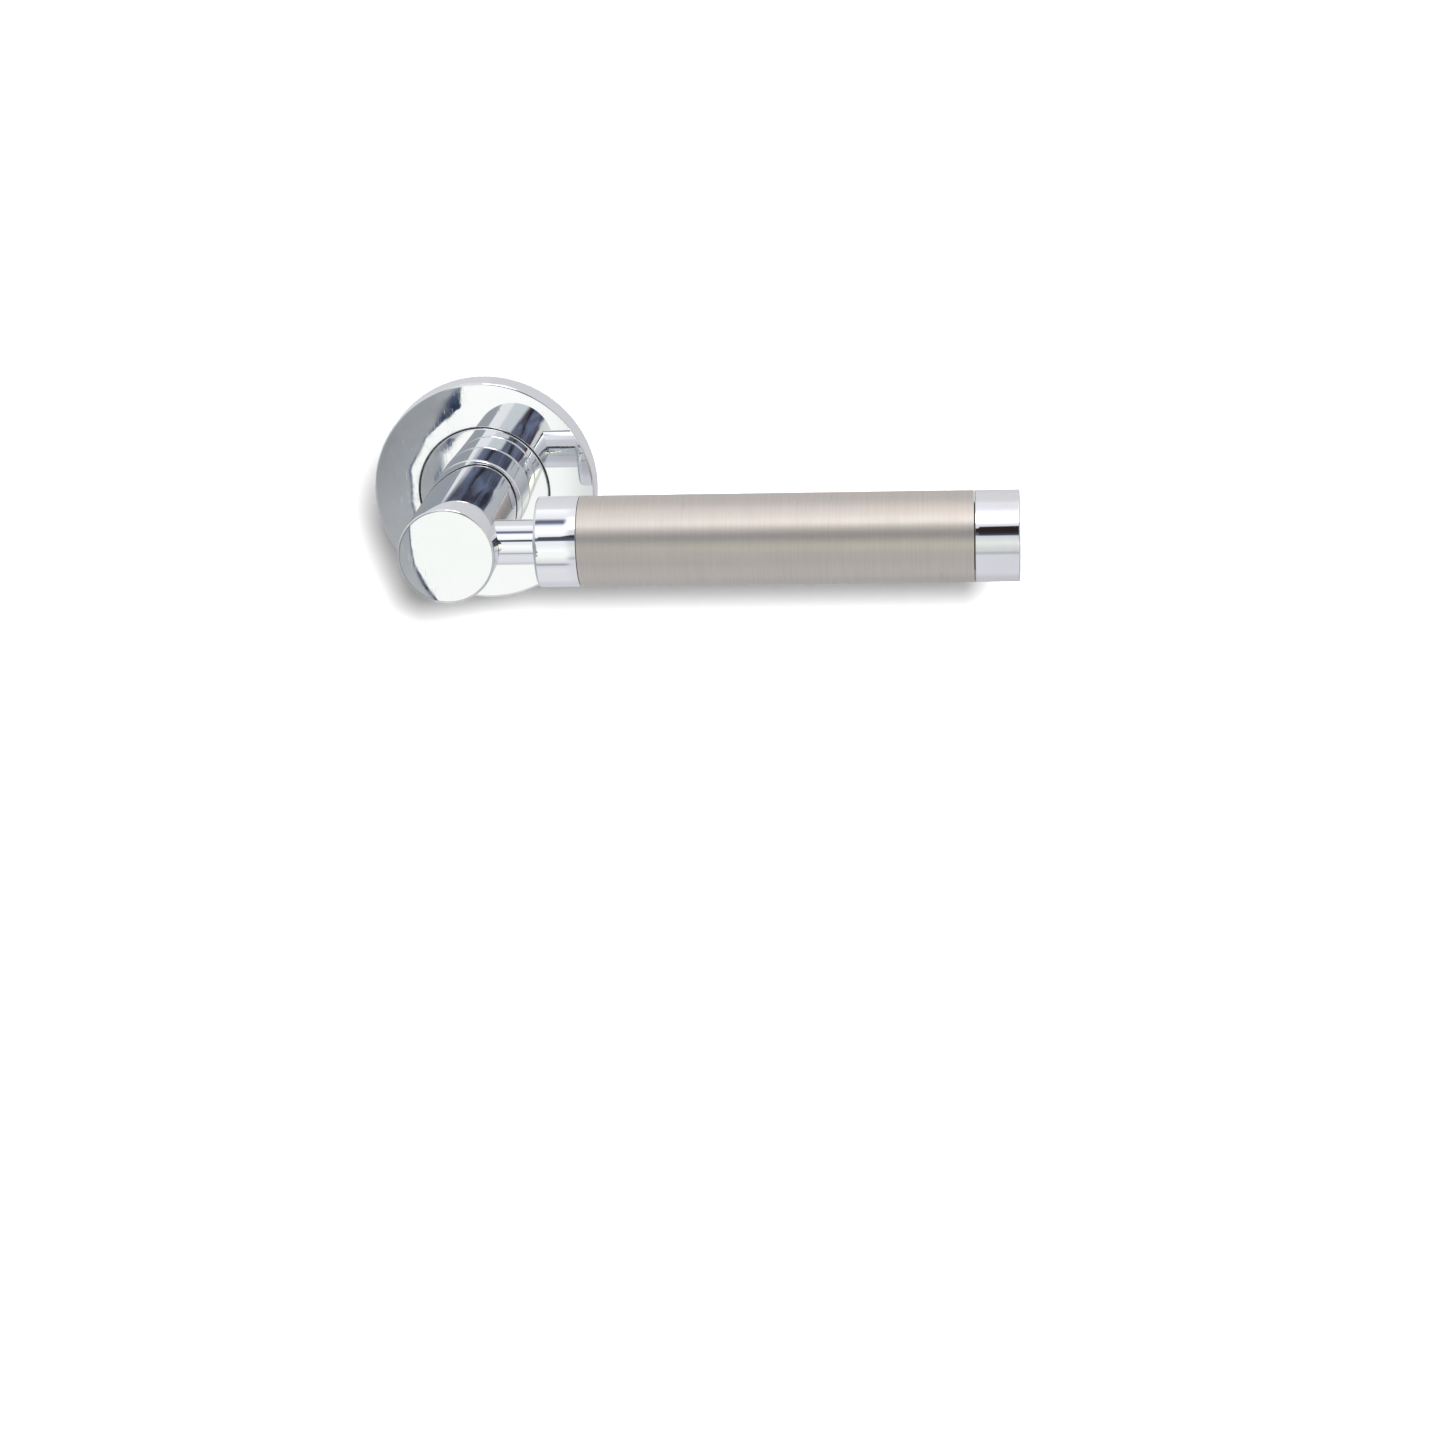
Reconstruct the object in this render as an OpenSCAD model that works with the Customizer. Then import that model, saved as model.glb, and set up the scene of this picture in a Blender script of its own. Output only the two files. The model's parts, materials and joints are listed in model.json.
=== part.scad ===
// Door lever handle on a round rose: bar neck, round grip and square spindle.
// Origin: where the spindle axis meets the door face. +X runs along the lever,
// +Z is up, -Y points out of the door to the user and +Y into the door.

/* [Rose] */
// Diameter of the round rose
rose_d = 52; // [50:0.5:54]
// Height of the rose rim above the door
rose_h = 7.0; // [6.8:0.1:7.4]
// Rise of the rose face from its rim to its hole
rose_crown = 0.2; // [0.1:0.05:0.3]
// Wall of the rose cover
rose_wall = 1.0; // [0.8:0.1:1.0]
// Diameter of the hole in the rose cover
rose_hole_d = 31; // [30.8:0.1:31.4]
// Radius on the outer rim of the rose
rose_edge = 0.5; // [0.3:0.1:0.8]

/* [Neck] */
// Diameter of the neck bar and of its collar ring
neck_d = 21.4; // [20:0.1:22]
// Distance from the door to the front end of the neck
neck_reach = 61.5; // [60:0.5:70]
// Length of the collar ring at the foot of the neck
collar_len = 12.1; // [11:0.1:14]
// Radius on the rims of the collar ring
collar_edge = 0.8; // [0.4:0.1:1]
// Radius on the rear rim of the neck bar
neck_rear_edge = 1.0; // [0.5:0.1:1.2]
// Radius on the front rim of the neck bar
neck_front_edge = 0.5; // [0.3:0.1:1]

/* [Lever] */
// Diameter of the grip, ferrule and end cap
lever_d = 20; // [19:0.1:20.4]
// Distance from the door to the lever axis
lever_reach = 50.5; // [49:0.5:50.5]
// Diameter of the thin spigot between neck and ferrule
spigot_d = 10; // [9:0.1:10.6]
// Distance from the spindle axis to the ferrule
ferrule_x = 19.0; // [17:0.1:21]
// Length of the ferrule
ferrule_len = 9.4; // [8:0.1:12]
// Length of the satin grip tube
grip_len = 86.2; // [70:0.1:110]
// Length of the end cap
cap_len = 9.9; // [8:0.1:14]
// Radius on the outer rim of the end cap
cap_edge = 0.8; // [0.4:0.1:1.5]

/* [Fixing and action] */
// Distance between each pair of fixing centres
fixing_pitch = 38; // [38:0.5:40]
// Length of the bolt-through posts behind the rose
post_len = 11; // [6:1:14]
// Size across the flats of the square spindle
spindle_sq = 8; // [7:0.1:8]
// Length of spindle that stands out behind the rose
spindle_out = 52; // [30:1:70]
// Angle the lever turns from rest to its lower stop
lever_travel = 45; // [30:1:45]

/* [Hidden] */
$fn = 96;
SMALL = 0.01;
fit_gap = 0.05;

// Finishes
CHROME = [0.80, 0.81, 0.83];
SATIN = [0.72, 0.68, 0.62];
ZINC = [0.62, 0.64, 0.66];
STEEL = [0.55, 0.56, 0.58];
NYLON = [0.90, 0.89, 0.84];
RUBBER = [0.08, 0.08, 0.08];

// Radii
rose_r = rose_d / 2;
hole_r = rose_hole_d / 2;
neck_r = neck_d / 2;
lever_r = lever_d / 2;
spigot_r = spigot_d / 2;
fixing_r = fixing_pitch / 2;

// Heights above the door, from the hidden plate up to the visible neck
face_h = rose_h + rose_crown;
collar_top = face_h + collar_len;
plate_h = 5.0;
flange_under = 5.3;
driver_under = 3.8;
driver_floor = 3.65;
bush_seat = 3.0;
spring_floor = 0.9;

// Hub, bush and plate radii
flange_r = hole_r - 0.3;
boss_r = 7.4;
boss_top = collar_top + 4.7;
tail_r = 7.5;
tail_len = 7.5;
seat_r = 9.4;
seat_flats = 16;
bush_r = 9.0;
bush_lip_r = 10.4;
plate_r = rose_r - rose_wall - 0.4;
well_wall_r = 10.6;
spring_well_r = 14.4;
driver_r = 14.6;
driver_well_r = 14.9;

// Drive lug and the pocket whose ends are its stops
lug_r = 20.2;
lug_half = 8;
lug_rest = 67;
lug_play = 0.3;
stop_gap = 0.2;

// Return spring: a torsion coil with one leg outward and one leg up
wire_r = 0.6;
coil_r = 12.5;
coil_turns = 1.25;
coil_pitch = 1.22;
coil_start = 225;
coil_low = spring_floor + wire_r + 0.05;
coil_high = coil_low + coil_turns * coil_pitch;
coil_end = coil_start + 360 * coil_turns;
leg_end_r = 15.6;
leg_top = 4.7;
leg_hole_r = 0.95;

// Fixings
screw_hole_r = 2.1;
screw_head_r = 3.9;
post_r = 3.9;
post_rivet_r = 2.6;
post_rivet_h = 2.8;
post_tap_r = 1.65;
post_tap_len = 10;
ring_low = 2.0;
ring_high = 3.6;
ring_in_r = plate_r - 1.0;

// Parts behind the plate
groove_r = 7.0;
clip_low = -2.8;
clip_high = -1.75;
clip_out_r = 9.4;
clip_eye = 1.6;
clip_eye_r = 0.7;
clip_gap = 50;
washer_low = -0.65;
washer_out_r = 11;

// Spindle socket, neck screw and grub screw
socket_sq = spindle_sq + 0.1;
socket_top = 17.5;
spindle_top = 14.0;
spindle_corner_r = spindle_sq * 0.66;
neck_screw_r = 2.5;
neck_screw_head_r = 3.8;
neck_screw_head_h = 2.9;
neck_screw_top = 34;
grub_r = 2.5;
grub_h = face_h + collar_len / 2;
grub_out = neck_r - 0.6;

// Lever stations along X
grip_x = ferrule_x + ferrule_len;
cap_x = grip_x + grip_len;
lever_end = cap_x + cap_len;
seam = 0.15;
rod_r = 3.0;
rod_start = -3;
rod_end = cap_x + 1.9;
spigot_x = 8.6;
spigot_seat_r = spigot_r + 0.35;
spigot_flare = 0.8;
spigot_in_ferrule = 1.5;
tenon_r = lever_r - 1.7;
tenon_len = 5.6;
plug_len = 10.6;
plug_lip_r = tenon_r + 0.6;
plug_lip_len = 2.0;
plug_well_r = 7.4;
plug_floor = cap_x - 5.6;
nut_flats = 10;
nut_h = 5;
lock_h = 1.5;
cap_tenon_r = 7.3;
cap_tenon_in = 6.4;
cap_tenon_len = 3.6;
cap_well = 3.9;
oring_in_r = 6.75;
oring_x = cap_x - 2.1;
oring_h = 1.1;
ring_x = grip_x + 0.5 * grip_len;
centring_h = 4;

// Turns a piece drawn with Z out of the door and Y up into the model frame.
module facing() rotate([90, 0, 0]) children();

// Places a piece drawn along Z so that it runs along the lever from station x.
module on_lever(x) facing() translate([x, 0, lever_reach]) rotate([0, 90, 0]) children();

// A round bar from z0 to z1 with rounded rims.
module bar(r, z0, z1, low = 0, high = 0) {
    translate([0, 0, z0])
        rotate_extrude() bar_half(r, z1 - z0, low, high);
}

// Half section of a round bar: radius across, height up, a quarter circle on each rim.
module bar_half(r, h, low, high) {
    translate([0, low]) square([r, h - low - high]);
    if (low > 0) {
        square([r - low, low]);
        intersection() {
            translate([r - low, low]) circle(r = low);
            translate([r - low, 0]) square([low, low]);
        }
    }
    if (high > 0) {
        translate([0, h - high]) square([r - high, high]);
        intersection() {
            translate([r - high, h - high]) circle(r = high);
            translate([r - high, h - high]) square([high, high]);
        }
    }
}

// A plain cylinder from z0 to z1.
module rod(r, z0, z1) translate([0, 0, z0]) cylinder(r = r, h = z1 - z0);

// A flat ring from z0 to z1.
module ring(r_out, r_in, z0, z1) {
    difference() {
        rod(r_out, z0, z1);
        rod(r_in, z0 - SMALL, z1 + SMALL);
    }
}

// A hollow fillet round a cylinder, flaring out to its widest at z1.
module flare(r, size, z1) {
    translate([0, 0, z1 - size]) rotate_extrude() difference() {
        square([r + size, size]);
        translate([r + size, 0]) circle(r = size);
    }
}

// A wedge of the plane between two angles, for cutting sectors.
module wedge(from, to, reach, z0, z1) {
    translate([0, 0, z0]) linear_extrude(z1 - z0)
        polygon([[0, 0], reach * [cos(from), sin(from)], reach * [cos(to), sin(to)]]);
}

// A sector of a disc.
module sector(r, from, to, z0, z1) {
    intersection() {
        rod(r, z0, z1);
        wedge(from, to, 2 * r, z0, z1);
    }
}

// A round seat with two flats, for driving the plate.
module flatted(r, flats, z0, z1) {
    intersection() {
        rod(r, z0, z1);
        translate([-flats / 2, -r, z0]) cube([flats, 2 * r, z1 - z0]);
    }
}

// Both members of a pair of fixings, across the rose or up it.
module each_side() for (side = [-1, 1]) translate([side * fixing_r, 0, 0]) children();
module each_end() for (side = [-1, 1]) translate([0, side * fixing_r, 0]) children();

// A tube along a list of points; ups holds the side direction at each point.
module swept(points, outs, ups, r, sides) {
    n = len(points);
    pts = [for (i = [0:n - 1], k = [0:sides - 1])
        points[i] + r * (cos(360 * k / sides) * outs[i] + sin(360 * k / sides) * ups[i])];
    walls = [for (i = [0:n - 2], k = [0:sides - 1])
        [i * sides + k, i * sides + (k + 1) % sides,
         (i + 1) * sides + (k + 1) % sides, (i + 1) * sides + k]];
    start_face = [for (k = [0:sides - 1]) sides - 1 - k];
    end_face = [for (k = [0:sides - 1]) (n - 1) * sides + k];
    polyhedron(points = pts, faces = concat([start_face], walls, [end_face]));
}

// ---- Rose, fixed to the door ----

module rose_outline(r, h, crown, edge, in_r) {
    polygon([[0, 0], [r, 0], [r, h - edge], [r - edge, h], [in_r, h + crown], [0, h + crown]]);
    translate([r - edge, h - edge]) circle(r = edge);
}

module rose_cover() {
    color(CHROME) facing() difference() {
        rotate_extrude() rose_outline(rose_r, rose_h, rose_crown, rose_edge, hole_r);
        rotate_extrude() translate([0, -SMALL]) polygon([
            [0, 0], [rose_r - rose_wall, 0],
            [rose_r - rose_wall, rose_h - rose_wall], [hole_r, face_h - rose_wall],
            [0, face_h - rose_wall]
        ]);
        rod(hole_r, 0, face_h + 1);
    }
}

module lug_pocket() {
    sector(lug_r + lug_play, lug_rest - lever_travel - lug_half - stop_gap,
        lug_rest + lug_half + stop_gap, driver_floor, plate_h + 1);
}

module screw_hole() {
    sink = screw_head_r - screw_hole_r;
    rod(screw_hole_r, -1, plate_h + 1);
    translate([0, 0, plate_h - sink]) cylinder(r1 = screw_hole_r, r2 = screw_head_r, h = sink);
    rod(screw_head_r, plate_h, plate_h + 1);
}

module leg_slot() {
    rotate(coil_start) translate([coil_r, -wire_r - 0.1, spring_floor])
        cube([leg_end_r - coil_r + 0.2, 2 * wire_r + 0.2, plate_h]);
}

module base_plate() {
    color(ZINC) facing() difference() {
        rod(plate_r, 0, plate_h);
        rod(bush_r, -1, plate_h + 1);
        rod(well_wall_r, bush_seat, plate_h + 1);
        ring(spring_well_r, well_wall_r, spring_floor, plate_h + 1);
        rod(driver_well_r, driver_floor, plate_h + 1);
        lug_pocket();
        leg_slot();
        each_side() rod(post_rivet_r, -1, post_rivet_h);
        each_end() screw_hole();
        ring(plate_r + 1, ring_in_r, ring_low, ring_high);
    }
}

module bolt_posts() {
    color(STEEL) facing() each_side() difference() {
        union() {
            rod(post_r, -post_len, 0);
            rod(post_rivet_r, -1, post_rivet_h);
        }
        rod(post_tap_r, -post_len - 1, post_tap_len - post_len);
    }
}

module bearing_bush() {
    color(NYLON) facing() difference() {
        union() {
            rod(bush_r, 0, bush_seat + SMALL);
            rod(bush_lip_r, bush_seat, driver_under - fit_gap);
        }
        rod(tail_r + fit_gap, -1, plate_h);
    }
}

module return_spring() {
    steps_per_turn = 24;
    n = floor(coil_turns * steps_per_turn);
    coil = [for (i = [0:n])
        let (a = coil_start + 360 * coil_turns * i / n)
        [coil_r * cos(a), coil_r * sin(a), coil_low + (coil_high - coil_low) * i / n]];
    outs = [for (i = [0:n])
        let (a = coil_start + 360 * coil_turns * i / n) [cos(a), sin(a), 0]];
    ups = [for (i = [0:n]) [0, 0, 1]];
    color(STEEL) facing() union() {
        swept(coil, outs, ups, wire_r, 10);
        rotate(coil_start) translate([coil_r, 0, coil_low]) rotate([0, 90, 0])
            cylinder(r = wire_r, h = leg_end_r - coil_r, $fn = 24);
        rotate(coil_end) translate([coil_r, 0, coil_high])
            cylinder(r = wire_r, h = leg_top - coil_high, $fn = 24);
    }
}

module cover_ring() {
    color(NYLON) facing()
        ring(rose_r - rose_wall, ring_in_r, ring_low + fit_gap, ring_high - fit_gap);
}

module thrust_washer() {
    color(STEEL) facing() ring(washer_out_r, tail_r + fit_gap, washer_low, 0);
}

// ---- Lever, turning on the spindle axis ----

module spring_washer() {
    t = 0.4;
    low = clip_high + fit_gap;
    high = washer_low - fit_gap;
    color(STEEL) facing() rotate_extrude() polygon([
        [tail_r + fit_gap, low], [washer_out_r - 0.2, high - t],
        [washer_out_r - 0.2, high], [tail_r + fit_gap, low + t]
    ]);
}

module circlip() {
    eye_at = clip_gap / 2 + 10;
    color(STEEL) facing() difference() {
        union() {
            difference() {
                rod(clip_out_r, clip_low, clip_high);
                wedge(-90 - clip_gap / 2, -90 + clip_gap / 2, 3 * clip_out_r, clip_low - 1, clip_high + 1);
            }
            for (side = [-1, 1]) rotate(-90 + side * eye_at)
                translate([clip_out_r, 0, 0]) rod(clip_eye, clip_low, clip_high);
        }
        rod(groove_r + fit_gap, clip_low - 1, clip_high + 1);
        for (side = [-1, 1]) rotate(-90 + side * eye_at)
            translate([clip_out_r, 0, 0]) rod(clip_eye_r, clip_low - 1, clip_high + 1);
    }
}

module hub() {
    color(CHROME) facing() difference() {
        union() {
            rod(boss_r, face_h - 1, boss_top);
            bar(flange_r, flange_under, face_h, 0, 0.3);
            flatted(seat_r, seat_flats, driver_under, flange_under + 1);
            rod(tail_r, -tail_len, driver_under + 1);
        }
        ring(tail_r + 1, groove_r, clip_low - fit_gap, clip_high + fit_gap);
        translate([-socket_sq / 2, -socket_sq / 2, -tail_len - 1])
            cube([socket_sq, socket_sq, tail_len + 1 + socket_top]);
        rod(neck_screw_r + 0.1, 0, boss_top + 1);
        translate([0, 0, grub_h]) rotate([90, 0, 0]) rod(grub_r, 0, boss_r + 1);
    }
}

module driver_plate() {
    color(ZINC) facing() difference() {
        union() {
            rod(driver_r, driver_under, flange_under);
            sector(lug_r, lug_rest - lug_half, lug_rest + lug_half, driver_under, flange_under);
        }
        flatted(seat_r, seat_flats, driver_under - 1, flange_under + 1);
        rotate(coil_end) translate([coil_r, 0, 0]) rod(leg_hole_r, driver_under - 1, flange_under + 1);
    }
}

module collar_ring() {
    color(CHROME) facing() difference() {
        bar(neck_r, face_h, collar_top, collar_edge, collar_edge);
        rod(boss_r, face_h - 1, collar_top + 1);
        translate([0, 0, grub_h]) rotate([90, 0, 0]) rod(grub_r + 0.1, 0, neck_r + 1);
    }
}

module neck_bar() {
    color(CHROME) difference() {
        facing() bar(neck_r, collar_top, neck_reach, neck_rear_edge, neck_front_edge);
        facing() rod(boss_r, collar_top - 1, boss_top);
        facing() rod(neck_screw_r, collar_top, neck_screw_top);
        on_lever(0) rod(rod_r, rod_start, neck_r + 1);
        on_lever(0) rod(spigot_seat_r, spigot_x, neck_r + 1);
    }
}

module neck_screw() {
    head_under = socket_top - neck_screw_head_h;
    color(STEEL) facing() difference() {
        union() {
            rod(neck_screw_head_r, head_under, socket_top);
            rod(neck_screw_r, socket_top - 1, neck_screw_top);
        }
        translate([0, 0, head_under - 1]) cylinder(r = 2.3, h = 2.8, $fn = 6);
    }
}

module grub_screw() {
    color(STEEL) facing() translate([0, 0, grub_h]) rotate([90, 0, 0]) difference() {
        rod(grub_r, spindle_sq / 2, grub_out);
        translate([0, 0, grub_out - 2.5]) cylinder(r = 1.44, h = 4, $fn = 6);
    }
}

module spindle() {
    length = spindle_out + spindle_top;
    nib = 1.2;
    color(STEEL) facing() difference() {
        translate([-spindle_sq / 2, -spindle_sq / 2, -spindle_out])
            cube([spindle_sq, spindle_sq, length]);
        ring(spindle_sq, spindle_corner_r, -spindle_out - 1, nib - spindle_out);
        ring(spindle_sq, spindle_corner_r, spindle_top - nib, spindle_top + 1);
    }
}

module spigot() {
    color(CHROME) on_lever(0) difference() {
        union() {
            rod(spigot_r, spigot_x, ferrule_x + spigot_in_ferrule);
            flare(spigot_r, spigot_flare, ferrule_x);
        }
        rod(rod_r, spigot_x - 1, ferrule_x + spigot_in_ferrule + 1);
    }
}

module tie_rod() {
    color(STEEL) on_lever(0) bar(rod_r, rod_start, rod_end, 0.4, 0.4);
}

module ferrule() {
    color(CHROME) on_lever(0) difference() {
        union() {
            bar(lever_r, ferrule_x, grip_x, 0.7, seam);
            rod(tenon_r, grip_x - 1, grip_x + tenon_len);
        }
        rod(rod_r, ferrule_x - 1, grip_x + tenon_len + 1);
        rod(spigot_r, ferrule_x - 1, ferrule_x + spigot_in_ferrule);
    }
}

module grip_tube() {
    color(SATIN) on_lever(0) difference() {
        bar(lever_r, grip_x, cap_x, seam, seam);
        rod(tenon_r, grip_x - 1, cap_x + 1);
        rod(plug_lip_r, cap_x - plug_lip_len, cap_x + 1);
    }
}

module centring_ring() {
    color(NYLON) on_lever(0) ring(tenon_r - fit_gap, rod_r + fit_gap,
        ring_x - centring_h / 2, ring_x + centring_h / 2);
}

module end_plug() {
    color(ZINC) on_lever(0) difference() {
        union() {
            rod(tenon_r, cap_x - plug_len, cap_x - SMALL);
            rod(plug_lip_r, cap_x - plug_lip_len, cap_x - SMALL);
        }
        rod(rod_r, cap_x - plug_len - 1, cap_x + 1);
        rod(plug_well_r, plug_floor, cap_x + 1);
    }
}

module lock_washer() {
    color(STEEL) on_lever(0) difference() {
        ring(5.4, rod_r + fit_gap, plug_floor, plug_floor + lock_h);
        rotate(20) translate([0, -0.25, plug_floor - 1]) cube([6, 0.5, lock_h + 2]);
    }
}

module tie_nut() {
    low = plug_floor + lock_h;
    color(STEEL) on_lever(0) difference() {
        translate([0, 0, low]) cylinder(r = nut_flats / 2 / cos(30), h = nut_h, $fn = 6);
        rod(rod_r, low - 1, low + nut_h + 1);
    }
}

module cap_oring() {
    color(RUBBER) on_lever(0) ring(plug_well_r, oring_in_r,
        oring_x - oring_h / 2, oring_x + oring_h / 2);
}

module end_cap() {
    color(CHROME) on_lever(0) difference() {
        union() {
            bar(lever_r, cap_x, lever_end, seam, cap_edge);
            rod(cap_tenon_r, cap_x - cap_tenon_len, cap_x + 1);
        }
        rod(cap_tenon_in, cap_x - cap_tenon_len - 1, cap_x + cap_well);
        ring(cap_tenon_r + 1, oring_in_r, oring_x - oring_h / 2, oring_x + oring_h / 2);
    }
}

rose_cover();
base_plate();
bolt_posts();
bearing_bush();
return_spring();
cover_ring();
thrust_washer();
spring_washer();
circlip();
hub();
driver_plate();
collar_ring();
neck_bar();
neck_screw();
grub_screw();
spindle();
spigot();
tie_rod();
ferrule();
grip_tube();
centring_ring();
end_plug();
lock_washer();
tie_nut();
cap_oring();
end_cap();
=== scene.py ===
"""Looks for the door lever handle: high-resolution polished pieces, finishes, studio and camera.

Row frame, in metres: the spindle axis is Y, the door face is y = 0, +X runs along the lever, +Z is up,
and -Y comes out of the door.
"""

import json
import math
from collections import namedtuple

import bpy

from mathutils import Matrix, Vector


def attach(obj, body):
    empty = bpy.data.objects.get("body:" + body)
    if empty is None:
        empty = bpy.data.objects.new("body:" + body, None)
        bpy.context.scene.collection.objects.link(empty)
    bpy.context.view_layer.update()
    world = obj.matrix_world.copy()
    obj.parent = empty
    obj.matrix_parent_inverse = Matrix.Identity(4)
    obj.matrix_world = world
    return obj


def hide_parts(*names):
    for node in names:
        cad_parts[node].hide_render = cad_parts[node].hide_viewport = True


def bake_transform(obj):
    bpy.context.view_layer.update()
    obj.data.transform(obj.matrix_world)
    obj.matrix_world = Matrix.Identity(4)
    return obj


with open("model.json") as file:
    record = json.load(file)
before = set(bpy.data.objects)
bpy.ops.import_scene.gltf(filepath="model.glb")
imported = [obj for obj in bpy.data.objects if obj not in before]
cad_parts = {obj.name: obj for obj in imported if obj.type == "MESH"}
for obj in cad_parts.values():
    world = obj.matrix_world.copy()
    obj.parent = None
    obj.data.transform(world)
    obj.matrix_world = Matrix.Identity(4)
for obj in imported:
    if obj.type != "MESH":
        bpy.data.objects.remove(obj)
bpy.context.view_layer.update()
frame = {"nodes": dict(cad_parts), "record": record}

MM = 0.001
FULL_TURN = 2 * math.pi

# ---- Sizes, in millimetres: the CAD part's own, but for the last group ----
# Heights are measured out of the door, and stations are measured along X from the spindle axis.

# Rose cover
ROSE_R = 26.0  # outer radius
ROSE_H = 7.0  # height of its rim
ROSE_WALL = 1.0
FACE_H = 7.2  # height of its face at the hole
HOLE_R = 15.5

# Hub: the flange disc in the rose's hole, the boss in front of it and the tail behind it
FLANGE_R = 15.2
FLANGE_UNDER = 5.3
FLANGE_FALL = 0.1  # fall of its face from the collar to its rim
HUB_SEAT_R = 8.0  # half the width across the CAD hub's flats
HUB_SEAT_H = 3.8
BOSS_R = 7.4
BOSS_TOP = 24.0
SOCKET = 8.1  # width of the square socket
SOCKET_TOP = 17.5
TAIL_R = 7.5
TAIL_LEN = 7.5
GROOVE_R = 7.0
GROOVE_LOW = -2.85
GROOVE_HIGH = -1.7

# Collar ring and neck bar
NECK_R = 10.7
COLLAR_SEAT_R = NECK_R - 0.4
COLLAR_TOP = 19.3
NECK_REACH = 61.5
GRUB_H = 13.25  # height of the grub screw's hole in the collar
GRUB_HOLE_R = 2.6
SCREW_R = 2.5
SCREW_PLAY = 0.1
SCREW_TOP = 34.0

# Lever: spigot, ferrule, grip tube and end cap
LEVER_R = 10.0
LEVER_AXIS = 50.5
SPIGOT_R = 5.0
SPIGOT_X = 8.6  # station of its seated end
SPIGOT_PAINTED_SHADE = 0.7  # length of its start that is darkened with painted shade, deep in the neck's hole
SEAT_R = 5.35  # radius of the neck's hole for it
FLARE = 0.8
FLARE_GAP = 0.02
FERRULE_X = 19.0
FERRULE_WEB = 1.5  # thickness of the ferrule's near end
GRIP_X = 28.4
CAP_X = 114.6
LEVER_END = 124.5
ROD_R = 3.0
TENON_R = 8.3
TENON_LEN = 5.6
PLUG_LIP_R = 8.9
PLUG_LIP_LEN = 2.0
CAP_TENON_R = 7.3
CAP_TENON_IN = 6.4
CAP_TENON_LEN = 3.6
CAP_WELL = 3.9

# Return spring
WIRE_R = 0.6
COIL_R = 12.5
COIL_TURNS = 1.25
COIL_PITCH = 1.22
COIL_LOW = 1.55
COIL_HIGH = COIL_LOW + COIL_TURNS * COIL_PITCH
COIL_START = math.radians(225)
COIL_END = COIL_START + FULL_TURN * COIL_TURNS
LEG_END_R = 15.6
LEG_TOP = 4.7

# What polishing leaves, in the visual pieces only: the rose's face and the neck's end are slightly domed, and
# the sleeves roll off a little at their ends
FACE_MID_DROP = 0.075  # from the face's height at the hole to its middle: 0.1 would be a straight face
FACE_ROUND = 900
END_DOME = 0.11  # rise of the middle of the neck's end
END_DOME_SHARE = 0.46  # length of the dome's arc on each side of its corner, in radii of the neck
ROLL = 0.045  # drop of a rolled-off end
ROLL_LEN = 1.0
ROLL_R = 16
FAR_ROLL = 0.05  # the same at the ferrule's far end
FAR_ROLL_LEN = 2.2
FAR_ROLL_R = 100
CAP_ROLL_BEND = 0.46  # from the cap's near end to the bend in its roll-off
JOINT_GAP = 0.1  # the dark line where one sleeve meets the next: a real gap, with painted shade on its inner corners

# ---- Node trees ----


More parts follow.
